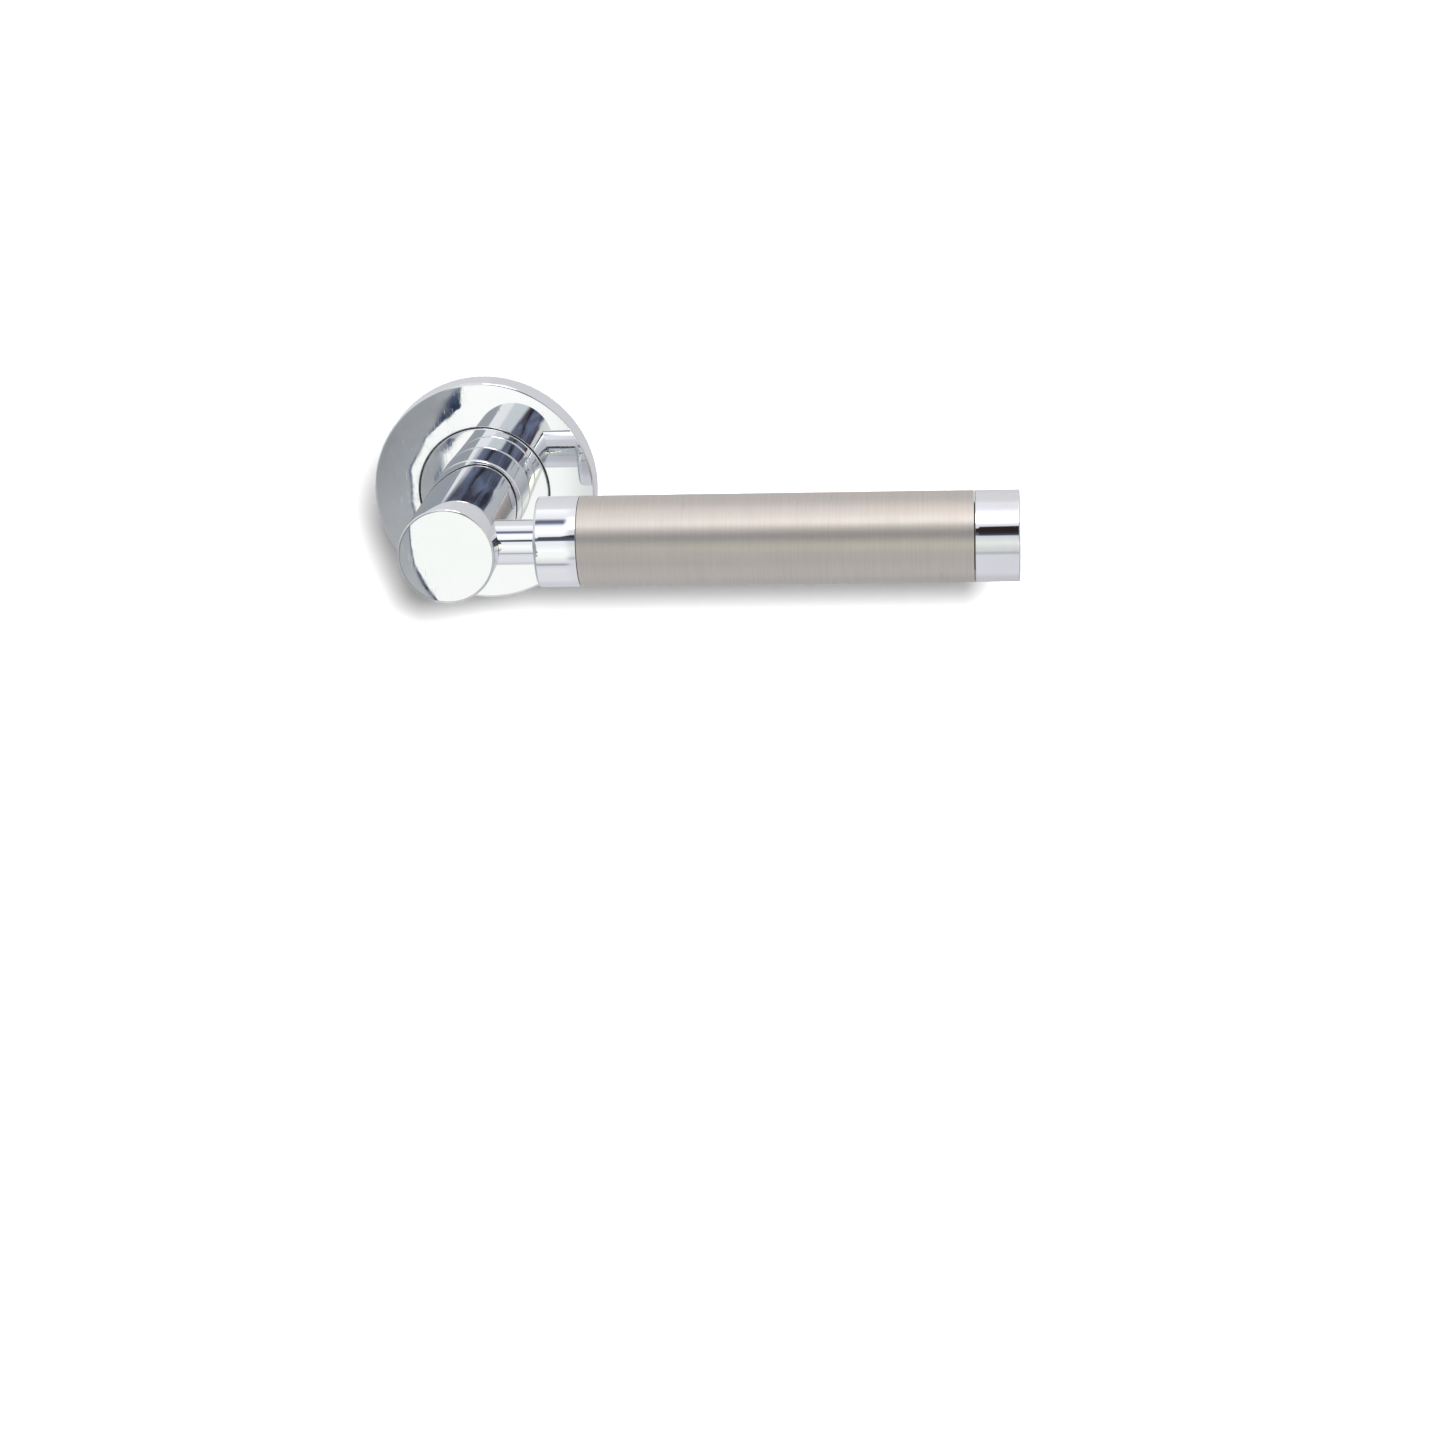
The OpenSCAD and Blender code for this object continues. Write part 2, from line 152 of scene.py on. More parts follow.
class Graph:
    """Short calls that build one node tree."""

    def __init__(self, tree):
        self.tree = tree

    def node(self, kind, **settings):
        made = self.tree.nodes.new(kind)
        for key, value in settings.items():
            setattr(made, key, value)
        return made

    def feed(self, socket, value):
        if isinstance(value, bpy.types.NodeSocket):
            self.tree.links.new(value, socket)
        elif value is not None:
            socket.default_value = value

    def math(self, operation, a, b=None, c=None):
        made = self.node("ShaderNodeMath", operation=operation)
        for socket, value in zip(made.inputs, (a, b, c)):
            self.feed(socket, value)
        return made.outputs[0]

    def span(self, value, low, high, out_low=0.0, out_high=1.0, smooth=False):
        """The value carried from low..high to out_low..out_high, and clamped."""
        made = self.node("ShaderNodeMapRange", interpolation_type="SMOOTHSTEP" if smooth else "LINEAR")
        for label, number in (
            ("Value", value), ("From Min", low), ("From Max", high),
            ("To Min", out_low), ("To Max", out_high),
        ):
            self.feed(made.inputs[label], number)
        return made.outputs["Result"]

    def step(self, value, edge, width):
        """0 below the edge and 1 above it, over a soft width."""
        return self.span(self.math("SUBTRACT", value, edge), -width / 2, width / 2, smooth=True)

    def inverse(self, mask):
        return self.math("SUBTRACT", 1.0, mask)

    def both(self, *masks):
        out = masks[0]
        for mask in masks[1:]:
            out = self.math("MULTIPLY", out, mask)
        return out

    def hump(self, value, middle, half_width):
        """A smooth hump, 1 in the middle."""
        off = self.math("MULTIPLY_ADD", value, 1 / half_width, -middle / half_width)
        return self.math("EXPONENT", self.math("MULTIPLY", self.math("MULTIPLY", off, off), -1.0))

    def past(self, value, start):
        """How far the value is past the start, and 0 before it."""
        return self.math("MAXIMUM", self.math("ADD", value, -start), 0.0)

    def mix(self, factor, a, b):
        made = self.node("ShaderNodeMix", data_type="RGBA")
        for name, value in (("Factor", factor), ("A", a), ("B", b)):
            kind = "VALUE" if name == "Factor" else "RGBA"
            socket = next(s for s in made.inputs if s.name == name and s.type == kind)
            self.feed(socket, (*value, 1) if isinstance(value, tuple) and len(value) == 3 else value)
        return next(s for s in made.outputs if s.type == "RGBA")

    def by_angle(self, angle, stops, interpolation="LINEAR"):
        """A colour that follows an angle in degrees, -180 to 180, through a list of (angle, colour) stops."""
        made = self.node("ShaderNodeValToRGB")
        ramp = made.color_ramp
        ramp.interpolation = interpolation
        while len(ramp.elements) < len(stops):
            ramp.elements.new(0.5)
        for element, (at, colour) in zip(ramp.elements, stops):
            element.position = (at + 180) / 360
            element.color = colour
        self.feed(made.inputs["Fac"], self.math("MULTIPLY_ADD", angle, 1 / 360, 0.5))
        return made.outputs["Color"]

    def noise(self, vector, scale, detail=2.0, roughness=0.5, distortion=0.0):
        made = self.node("ShaderNodeTexNoise")
        self.feed(made.inputs["Vector"], vector)
        for label, number in (
            ("Scale", scale), ("Detail", detail), ("Roughness", roughness), ("Distortion", distortion),
        ):
            made.inputs[label].default_value = number
        return made.outputs["Fac"]

    def stretched(self, vector, scale, turn=(0, 0, 0)):
        made = self.node("ShaderNodeMapping")
        self.feed(made.inputs["Vector"], vector)
        made.inputs["Scale"].default_value = scale
        made.inputs["Rotation"].default_value = turn
        return made.outputs["Vector"]

    def bump(self, height, distance, normal=None, strength=1.0):
        made = self.node("ShaderNodeBump")
        made.inputs["Strength"].default_value = strength
        made.inputs["Distance"].default_value = distance
        self.feed(made.inputs["Height"], height)
        self.feed(made.inputs["Normal"], normal)
        return made.outputs["Normal"]

    def attribute(self, name):
        return self.node("ShaderNodeAttribute", attribute_name=name).outputs["Fac"]


# ---- Finishes ----
# Noise scales are per metre, so 1000 gives marks about a millimetre apart.


class Finish(Graph):
    """A material while it is being built."""

    def __init__(self, name, metallic):
        self.material = bpy.data.materials.new(name)
        self.material.use_nodes = True
        super().__init__(self.material.node_tree)
        self.shader = self.tree.nodes["Principled BSDF"]
        self.shader.inputs["Metallic"].default_value = metallic
        self.place = self.node("ShaderNodeTexCoord").outputs["Object"]

    def fix(self, label, value):
        """A value that is the same all over the surface."""
        self.shader.inputs[label].default_value = value

    def done(self, colour, rough, normal):
        """The material, with its colour, roughness and normal joined to its shader."""
        for label, value in (("Base Color", colour), ("Roughness", rough), ("Normal", normal)):
            self.feed(self.shader.inputs[label], value)
        return self.material


def polished_chrome():
    """Mirror chrome: faint polishing waves, smudges, hairline scratches, duller edges and painted shade in
    the gaps.
    """
    g = Finish("polished_chrome", 1.0)
    smudge = g.span(g.noise(g.place, 130, 4, 0.6, 0.8), 0.45, 0.72)
    cloud = g.noise(g.place, 420, 3, 0.6)
    hairs = 0.0
    for angle, scale in ((0.4, 5200), (-0.9, 6100), (1.9, 4600)):
        lines = g.noise(g.stretched(g.place, (1, 0.02, 0.05), (0.3, angle, angle)), scale, 1, 0.5)
        patches = g.span(g.noise(g.place, 260 + scale / 40, 1), 0.5, 0.62)
        hairs = g.math("MAXIMUM", hairs, g.both(g.span(lines, 0.70, 0.76), patches))
    edge = g.both(g.attribute("edge"), g.span(cloud, 0.42, 0.62))
    # Painted shade: deep in the gaps and at the joints, where shade falls, the polish is darkened to near
    # black and made rougher.
    painted_shade = g.span(g.attribute("painted_shade"), 0.35, 1.0)
    colour = g.mix(g.both(smudge, 0.35), (0.83, 0.84, 0.86), (0.80, 0.81, 0.82))
    colour = g.mix(g.both(edge, 0.25), colour, (0.74, 0.73, 0.72))
    colour = g.mix(painted_shade, colour, (0.055, 0.05, 0.048))
    rough = g.math("MULTIPLY_ADD", smudge, 0.03, 0.012)
    for mask, duller in ((hairs, 0.06), (edge, 0.05), (painted_shade, 0.4)):
        rough = g.math("MULTIPLY_ADD", mask, duller, rough)
    normal = g.bump(g.noise(g.place, 70, 1.0, 0.4), 1.1e-5)
    normal = g.bump(hairs, 3e-7, g.bump(cloud, 6e-7, normal))
    return g.done(colour, rough, normal)


def satin_nickel():
    """Satin nickel, brushed round the tube: fine rings, a few heavier lines, blotches, rubbed edges and
    painted shade at the joints.
    """
    g = Finish("satin_nickel", 1.0)
    rings = g.noise(g.stretched(g.place, (1, 0.010, 0.010)), 7000, 3, 0.65)
    coarse = g.noise(g.stretched(g.place, (1, 0.03, 0.03)), 900, 2, 0.6)
    marks = g.span(g.noise(g.stretched(g.place, (1, 0.10, 0.10)), 1500, 1), 0.70, 0.80)
    blotch = g.noise(g.place, 70, 3, 0.55, 0.5)
    edge = g.both(g.attribute("edge"), g.span(blotch, 0.35, 0.6))
    # Painted shade: at the joint gaps, where shade falls, the satin is darkened to near black.
    painted_shade = g.span(g.attribute("painted_shade"), 0.1, 1.0)
    colour = g.mix(g.span(blotch, 0.3, 0.7), (0.641, 0.594, 0.549), (0.615, 0.574, 0.526))
    colour = g.mix(g.both(g.span(rings, 0.38, 0.66), 0.65), colour, (0.555, 0.519, 0.475))
    colour = g.mix(g.both(marks, 0.4), colour, (0.42, 0.39, 0.36))
    colour = g.mix(g.both(edge, 0.3), colour, (0.66, 0.62, 0.58))
    colour = g.mix(painted_shade, colour, (0.03, 0.026, 0.024))
    rough = g.math("MULTIPLY_ADD", rings, 0.16, 0.31)
    rough = g.math("MULTIPLY_ADD", coarse, 0.03, rough)
    rough = g.math("MULTIPLY_ADD", edge, -0.08, rough)
    g.fix("Anisotropic", 0.45)
    g.fix("Anisotropic Rotation", 0.25)
    round_the_tube = g.node("ShaderNodeTangent", direction_type="UV_MAP", uv_map="turned")
    g.feed(g.shader.inputs["Tangent"], round_the_tube.outputs[0])
    normal = g.bump(rings, 2.5e-6, strength=0.8)
    normal = g.bump(marks, 4e-6, g.bump(coarse, 1.5e-6, normal))
    return g.done(colour, rough, normal)


def zinc_casting():
    """Raw zinc die casting: grainy skin, flow marks and grey oxide in patches."""
    g = Finish("zinc_casting", 1.0)
    grain = g.noise(g.place, 3800, 4, 0.65)
    flow = g.noise(g.stretched(g.place, (1, 1, 0.35), (0, 0, 0.5)), 240, 4, 0.6, 1.2)
    oxide = g.span(g.noise(g.place, 150, 5, 0.65, 0.4), 0.46, 0.66)
    pits = g.span(g.noise(g.place, 1500, 1), 0.68, 0.76)
    colour = g.mix(g.span(flow, 0.3, 0.7), (0.66, 0.67, 0.69), (0.52, 0.54, 0.56))
    colour = g.mix(g.both(oxide, 0.55), colour, (0.42, 0.43, 0.44))
    colour = g.mix(pits, colour, (0.25, 0.25, 0.26))
    rough = g.math("MULTIPLY_ADD", oxide, 0.14, g.math("MULTIPLY_ADD", grain, 0.22, 0.34))
    normal = g.bump(pits, -3e-5, g.bump(flow, 3e-5, g.bump(grain, 2.2e-5)))
    return g.done(colour, rough, normal)


def zinc_plated_steel():
    """Bright zinc plate: faint blue to straw tints, fine drawn lines and a few dull spots."""
    g = Finish("zinc_plated_steel", 1.0)
    tint = g.noise(g.place, 90, 3, 0.55, 0.5)
    lines = g.noise(g.stretched(g.place, (1, 0.02, 1)), 5200, 2, 0.6)
    broad = g.noise(g.stretched(g.place, (1, 0.04, 1)), 1300, 2, 0.5)
    spots = g.span(g.noise(g.place, 500, 2), 0.68, 0.76)
    colour = g.mix(g.span(tint, 0.35, 0.55), (0.60, 0.62, 0.66), (0.63, 0.64, 0.65))
    colour = g.mix(g.span(tint, 0.55, 0.75), colour, (0.65, 0.64, 0.60))
    colour = g.mix(g.both(g.span(broad, 0.5, 0.7), 0.2), colour, (0.54, 0.55, 0.57))
    colour = g.mix(g.both(spots, 0.25), colour, (0.50, 0.51, 0.52))
    rough = g.math("MULTIPLY_ADD", spots, 0.12, g.math("MULTIPLY_ADD", lines, 0.08, 0.20))
    return g.done(colour, rough, g.bump(broad, 1e-6, g.bump(lines, 4e-7)))


def spring_steel():
    """Oiled spring wire: drawn dark steel with a film of oil in patches."""
    g = Finish("spring_steel", 1.0)
    drawn = g.noise(g.stretched(g.place, (1, 0.1, 1)), 4200, 3, 0.6)
    oil = g.span(g.noise(g.place, 320, 3, 0.6, 0.6), 0.42, 0.6, smooth=True)
    colour = g.mix(g.span(drawn, 0.3, 0.7), (0.47, 0.48, 0.50), (0.34, 0.34, 0.35))
    colour = g.mix(g.both(oil, 0.6), colour, (0.30, 0.27, 0.22))
    rough = g.math("MULTIPLY_ADD", oil, -0.16, g.math("MULTIPLY_ADD", drawn, 0.16, 0.28))
    return g.done(colour, rough, g.bump(drawn, 5e-6))


def black_steel():
    """Black-oxide screws: dark satin with brown bloom and rubbed, brighter grain."""
    g = Finish("black_steel", 1.0)
    grain = g.noise(g.place, 5200, 3, 0.6)
    bloom = g.span(g.noise(g.place, 520, 3, 0.6), 0.48, 0.7)
    rubbed = g.span(g.noise(g.place, 1300, 4, 0.7), 0.62, 0.72)
    colour = g.mix(g.span(grain, 0.3, 0.7), (0.075, 0.075, 0.08), (0.12, 0.12, 0.13))
    colour = g.mix(g.both(bloom, 0.5), colour, (0.16, 0.12, 0.09))
    colour = g.mix(g.both(rubbed, 0.4), colour, (0.38, 0.38, 0.39))
    rough = g.math("MULTIPLY_ADD", rubbed, -0.08, g.math("MULTIPLY_ADD", grain, 0.2, 0.30))
    return g.done(colour, rough, g.bump(grain, 8e-6))


def nylon():
    """Natural moulded nylon: milky, slightly see-through, with a fine spark texture."""
    g = Finish("nylon", 0.0)
    spark = g.noise(g.place, 3000, 3, 0.6)
    milk = g.noise(g.place, 260, 3, 0.6, 0.7)
    colour = g.mix(g.span(milk, 0.3, 0.7), (0.90, 0.89, 0.84), (0.83, 0.81, 0.74))
    colour = g.mix(g.both(g.span(spark, 0.55, 0.75), 0.3), colour, (0.76, 0.74, 0.68))
    rough = g.math("MULTIPLY_ADD", spark, 0.2, 0.34)
    g.fix("Subsurface Weight", 0.15)
    g.fix("Subsurface Radius", (0.001, 0.0009, 0.0007))
    g.fix("Subsurface Scale", 1.0)
    return g.done(colour, rough, g.bump(g.noise(g.place, 700, 2), 8e-6, g.bump(spark, 9e-6)))


def rubber():
    """Black moulded rubber with a greyish bloom."""
    g = Finish("rubber", 0.0)
    grain = g.noise(g.place, 2600, 4, 0.6)
    bloom = g.span(g.noise(g.place, 380, 4, 0.6, 0.5), 0.45, 0.7)
    colour = g.mix(g.span(grain, 0.3, 0.7), (0.030, 0.030, 0.031), (0.050, 0.049, 0.048))
    colour = g.mix(g.both(bloom, 0.4), colour, (0.11, 0.11, 0.105))
    return g.done(colour, g.math("MULTIPLY_ADD", grain, 0.22, 0.58), g.bump(grain, 1.6e-5))


finishes = {
    make.__name__: make()
    for make in (
        polished_chrome, satin_nickel, zinc_casting, zinc_plated_steel, spring_steel, black_steel,
        nylon, rubber,
    )
}
for part in frame["record"]["subparts"]:
    node = frame["nodes"].get(part["node"])
    if node is not None:
        for slot in node.material_slots:
            slot.material = finishes[part["material_slot"]]

# ---- Lathe-turned meshes with exact normals ----
# A corner of a half section is (radius, height, rounding). The metal lies to the left of the path.

WORN_ROUNDING = 1.5  # a rounding up to this radius is an edge that wears
EDGE_FADE = 0.4  # how far beside a rounding its wear fades out
PAINTED_SHADE_REACH = 0.35  # how far the painted shade reaches from a corner deep in a gap
PATCH_MARGIN = 0.06  # the wall in radians on each side of a hole that its patch takes up
PATCH_ROWS = (0.5, 0.85, 1.0)  # where the patch has rows, from its edge to the hole
TINY = 1e-6
STRAIGHT = 1e-4  # a turn in radians that makes no corner

# A ring of the section: radius, height, normals before and after it, and 1 where its edge is worn
Ring = namedtuple("Ring", "r h before after worn")
# A round hole drilled square to the wall: its angle, height and radius, and the radius it reaches down to
Hole = namedtuple("Hole", "angle height radius depth")


def placed(name, data):
    """A new object with this mesh, lamp or camera, in the scene."""
    made = bpy.data.objects.new(name, data)
    bpy.context.scene.collection.objects.link(made)
    return made


def wrapped(angle):
    """The same angle, from minus half a turn to half a turn."""
    return (angle + math.pi) % FULL_TURN - math.pi


def out_of_door(r, a, h):
    """A point on a piece turned about the spindle axis; h is the height out of the door."""
    return Vector((r * math.cos(a), -h, r * math.sin(a))) * MM


def along_lever(r, a, h):
    """A point on a piece turned about the lever's own axis; h is the station along X."""
    return Vector((h, r * math.cos(a) - LEVER_AXIS, r * math.sin(a))) * MM


def faded(corner, reach, towards, normal):
    """The ring beside a rounding where its wear has faded out, if there is room for one."""
    if not towards or corner[2] > WORN_ROUNDING:
        return []
    here = Vector(corner[:2])
    way = Vector(towards[:2]) - here
    if way.length < reach + towards[2] + 3 * EDGE_FADE:
        return []
    at = here + way.normalized() * (reach + EDGE_FADE)
    return [Ring(at.x, at.y, normal, normal, 0.0)]


def profile(corners, closed, steps):
    """The rings of a half section. A rounded corner gives several."""
    rings = []
    for i, corner in enumerate(corners):
        r, h, rounding = corner
        before = corners[i - 1] if closed or i > 0 else None
        after = corners[(i + 1) % len(corners)] if closed or i < len(corners) - 1 else None
        here = Vector((r, h))
        d_in = (here - Vector(before[:2])).normalized() if before else None
        d_out = (Vector(after[:2]) - here).normalized() if after else None
        d_in = d_in or d_out
        d_out = d_out or d_in
        n_in, n_out = Vector((d_in.y, -d_in.x)), Vector((d_out.y, -d_out.x))
        turn = math.atan2(d_in.x * d_out.y - d_in.y * d_out.x, d_in.dot(d_out))
        if not rounding or abs(turn) < STRAIGHT:
            rings.append(Ring(r, h, n_in, n_out, 0.0))
            continue
        reach = rounding * math.tan(abs(turn) / 2)
        side = 1 if turn > 0 else -1
        centre = here - d_in * reach - n_in * rounding * side
        rings += faded(corner, reach, before, n_in)
        for k in range(steps + 1):
            a = turn * k / steps
            normal = Vector((
                n_in.x * math.cos(a) - n_in.y * math.sin(a),
                n_in.x * math.sin(a) + n_in.y * math.cos(a),
            ))
            at = centre + normal * rounding * side
            rings.append(Ring(at.x, at.y, normal, normal, 1.0 if rounding <= WORN_ROUNDING else 0.0))
        rings += faded(corner, reach, after, n_out)
    return rings


class Skin:
    """The vertices, faces, corner normals and UVs of a turned piece while it is built."""

    def __init__(self, place):
        self.place = place
        self.centre = place(0, 0, 0)
        self.verts, self.faces, self.normals, self.uvs = [], [], [], []

    def vertex(self, r, a, h):
        self.verts.append(self.place(r, a, h))
        return len(self.verts) - 1

    def ring(self, ring, around, square):
        """The vertices of a ring, the first one again at its end: one vertex in all on the axis."""
        if ring.r < TINY:
            return [self.vertex(0, 0, ring.h)] * (around + 1)
        row = []
        for j in range(around):
            a = FULL_TURN * j / around
            share = max(abs(math.cos(a)), abs(math.sin(a))) if square else 1
            row.append(self.vertex(ring.r / share, a, ring.h))
        return row + row[:1]

    def direction(self, normal, a):
        """A normal of the half section, as it points at angle a."""
        return (self.place(normal[0], a, normal[1]) - self.centre).normalized()

    def face(self, corners):
        """Adds a face of (vertex, normal, uv) corners, less the ones that repeat a vertex."""
        kept = [corner for m, corner in enumerate(corners) if corner[0] != corners[m - 1][0]]
        if len(kept) > 2:
            ids, normals, uvs = zip(*kept)
            self.faces.append(ids)
            self.normals += normals
            self.uvs += uvs

    def drill(self, hole, wall, edge):
        """Closes the gap round a hole with rows of faces, and adds the side of the hole.

        edge is the gap's edge: (vertex, angle from the middle of the hole, height) all the way round.
        """
        mouth = [math.atan2(h - hole.height, math.sin(off) * wall) for _, off, h in edge]
        rim = [(hole.radius * math.cos(t), hole.height + hole.radius * math.sin(t)) for t in mouth]
        rows = [edge]
        for share in PATCH_ROWS:
            row = []
            for (_, off, h), (rim_x, rim_h) in zip(edge, rim):
                x = math.sin(off) * wall
                x, y = x + (rim_x - x) * share, h + (rim_h - h) * share
                at = math.asin(max(-1, min(1, x / wall)))
                row.append((self.vertex(wall, hole.angle + at, y), at, y))
            rows.append(row)
        bottom = [self.vertex(hole.depth, hole.angle + math.asin(x / hole.depth), y) for x, y in rim]
        loop = [(q, (q + 1) % len(edge)) for q in range(len(edge))]
        for outer, inner in zip(rows, rows[1:]):
            for q, w in loop:
                self.face([
                    (vid, self.direction((1, 0), hole.angle + off), ((hole.angle + off) / FULL_TURN, h * MM))
                    for vid, off, h in (outer[q], outer[w], inner[w], inner[q])
                ])
        across = self.direction((1, 0), hole.angle + math.pi / 2)
        upward = self.direction((0, 1), 0)
        for q, w in loop:
            self.face([
                (vid, -(across * math.cos(t) + upward * math.sin(t)), uv)
                for vid, t, uv in (
                    (rows[-1][q][0], mouth[q], (0, 0)), (rows[-1][w][0], mouth[w], (0.01, 0)),
                    (bottom[w], mouth[w], (0.01, 0.01)), (bottom[q], mouth[q], (0, 0.01)),
                )
            ])


def bored_wall(hole, rings):
    """The number of the ring where the hole's wall starts: it faces out and runs past the hole both ways."""
    for i, (low, high) in enumerate(zip(rings, rings[1:])):
        bottom, top = sorted((low.h, high.h))
        if (
            abs(low.r - high.r) < TINY and low.after.x > 0
            and bottom < hole.height - hole.radius and top > hole.height + hole.radius
        ):
            return i


def bored_cells(hole, wall, around):
    """The cells of the wall that the hole's patch takes up, in order across the hole."""
    off = [wrapped(FULL_TURN * (j + 0.5) / around - hole.angle) for j in range(around)]
    reach = math.asin(hole.radius / wall) + PATCH_MARGIN
    return sorted((j for j in range(around) if abs(off[j]) < reach), key=lambda j: off[j])


def turned(name, corners, place, body, slot, replaces, closed=True, around=192, steps=6,
           square=(), hole=None, painted_shade_corners=()):
    """A piece turned from a half section, with exact normals and a UV map of angle and path length.

    square lists the corners whose ring is a square of that half width, for a socket.
    hole is a Hole in the outer wall, which ends where nothing shows.
    the last argument lists the corners deep in a gap, where the polish is darkened with painted shade; the
    worn edges and this painted shade become attributes.
    """
    rings = profile(corners, closed, steps)
    squares = {corners[i][:2] for i in square}
    dark = [Vector(corners[i][:2]) for i in painted_shade_corners]
    lengths = [0.0]
    for a, b in zip(rings, rings[1:] + rings[:1]):
        lengths.append(lengths[-1] + math.hypot(b.r - a.r, b.h - a.h))
    skin = Skin(place)
    index = [skin.ring(ring, around, (ring.r, ring.h) in squares) for ring in rings]
    bored = bored_wall(hole, rings) if hole else None
    cells = bored_cells(hole, rings[bored].r, around) if hole else []

    for i in range(len(rings) if closed else len(rings) - 1):
        k = (i + 1) % len(rings)
        low, high = rings[i], rings[k]
        flat = (low.r, low.h) in squares and (high.r, high.h) in squares
        for j in range(around):
            if i == bored and j in cells:
                continue
            a0, a1 = FULL_TURN * j / around, FULL_TURN * (j + 1) / around
            flat_side = round(0.5 * (a0 + a1) / (math.pi / 2)) * math.pi / 2
            skin.face([
                (index[m][n], skin.direction(normal, flat_side if flat else a), (a / FULL_TURN, along * MM))
                for m, n, a, normal, along in (
                    (i, j, a0, low.after, lengths[i]), (i, j + 1, a1, low.after, lengths[i]),
                    (k, j + 1, a1, high.before, lengths[i + 1]), (k, j, a0, high.before, lengths[i + 1]),
                )
            ])
    if hole:
        ends = cells + [cells[-1] + 1]
        skin.drill(hole, rings[bored].r, [
            (index[i][j % around], wrapped(FULL_TURN * j / around - hole.angle), rings[i].h)
            for i, js in ((bored, ends), (bored + 1, reversed(ends))) for j in js
        ])

    mesh = bpy.data.meshes.new(name)
    mesh.from_pydata(skin.verts, [], skin.faces)
    worn = [ring.worn for ring in rings]
    # Painted shade: 1 on the rings near a corner deep in a gap, which the finishes darken, and 0 elsewhere.
    painted_shade = [
        float(any((Vector((ring.r, ring.h)) - at).length < PAINTED_SHADE_REACH for at in dark)) for ring in rings
    ]
    for label, by_ring in (("edge", worn), ("painted_shade", painted_shade)):
        values = [0.0] * len(skin.verts)
        for row, value in zip(index, by_ring):
            for vid in row:
                values[vid] = value
        mesh.attributes.new(label, "FLOAT", "POINT").data.foreach_set("value", values)
    uv = mesh.uv_layers.new(name="turned")
    for loop, value in zip(uv.data, skin.uvs):
        loop.uv = value
    mesh.polygons.foreach_set("use_smooth", [True] * len(mesh.polygons))
    mesh.update()
    mesh.normals_split_custom_set(skin.normals)
    mesh.materials.append(finishes[slot])
    piece = placed(name, mesh)
    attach(piece, body)
    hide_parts(replaces)


# ---- Turned pieces ----

# The corners given last to each piece lie deep in a gap, where painted shade darkens the finish.
turned(
    "rose_cover_polished",
    [
        (ROSE_R - ROSE_WALL, 0, 0), (ROSE_R, 0, 0.1), (ROSE_R, ROSE_H, 0.6),
        ((ROSE_R + HOLE_R) / 2, FACE_H - FACE_MID_DROP, FACE_ROUND),
        (HOLE_R, FACE_H, 0.22), (HOLE_R, FACE_H - ROSE_WALL, 0),
        (ROSE_R - ROSE_WALL, ROSE_H - ROSE_WALL, 0.3),
    ],
    out_of_door, "rose", "polished_chrome", "rose_cover", around=256, steps=8, painted_shade_corners=(5,),
)
turned(
    "hub_polished",
    [
        (SOCKET / 2, -TAIL_LEN, 0), (TAIL_R, -TAIL_LEN, 0.25), (TAIL_R, GROOVE_LOW, 0),
        (GROOVE_R, GROOVE_LOW, 0), (GROOVE_R, GROOVE_HIGH, 0), (TAIL_R, GROOVE_HIGH, 0),
        (TAIL_R, HUB_SEAT_H, 0), (HUB_SEAT_R, HUB_SEAT_H, 0), (HUB_SEAT_R, FLANGE_UNDER, 0),
        (FLANGE_R, FLANGE_UNDER, 0), (FLANGE_R, FACE_H - FLANGE_FALL, 0.3), (COLLAR_SEAT_R, FACE_H, 0),
        (BOSS_R, FACE_H, 0), (BOSS_R, BOSS_TOP, 0), (SCREW_R + SCREW_PLAY, BOSS_TOP, 0),
        (SCREW_R + SCREW_PLAY, SOCKET_TOP, 0), (SOCKET / 2, SOCKET_TOP, 0),
    ],
    out_of_door, "lever", "polished_chrome", "hub", square=(0, 16), painted_shade_corners=(9,),
)
turned(
    "collar_ring_polished",
    [
        (BOSS_R, FACE_H, 0), (NECK_R, FACE_H, 0.8), (NECK_R, COLLAR_TOP, 0.8), (BOSS_R, COLLAR_TOP, 0),
    ],
    out_of_door, "lever", "polished_chrome", "collar_ring", steps=10,
    hole=Hole(-math.pi / 2, GRUB_H, GRUB_HOLE_R, BOSS_R),
)
turned(
    "neck_bar_polished",
    [
        (0, SCREW_TOP, 0), (SCREW_R, SCREW_TOP, 0), (SCREW_R, BOSS_TOP, 0), (BOSS_R, BOSS_TOP, 0),
        (BOSS_R, COLLAR_TOP, 0), (NECK_R, COLLAR_TOP, 1.0), (NECK_R, NECK_REACH - END_DOME, 0.5),
        (NECK_R / 2, NECK_REACH, END_DOME_SHARE * NECK_R / math.tan(END_DOME / NECK_R)), (0, NECK_REACH, 0),
    ],
    out_of_door, "lever", "polished_chrome", "neck_bar", closed=False, steps=10,
    hole=Hole(0.0, LEVER_AXIS, SEAT_R, SPIGOT_X),
)
turned(
    "spigot_polished",
    [
        (ROD_R, SPIGOT_X, 0), (SPIGOT_R, SPIGOT_X, 0), (SPIGOT_R, SPIGOT_X + SPIGOT_PAINTED_SHADE, 0),
        (SPIGOT_R, FERRULE_X - FLARE_GAP, FLARE), (SPIGOT_R + FLARE, FERRULE_X - FLARE_GAP, 0),
        (SPIGOT_R, FERRULE_X, 0), (SPIGOT_R, FERRULE_X + FERRULE_WEB, 0), (ROD_R, FERRULE_X + FERRULE_WEB, 0),
    ],
    along_lever, "lever", "polished_chrome", "spigot", steps=10, painted_shade_corners=(1,),
)
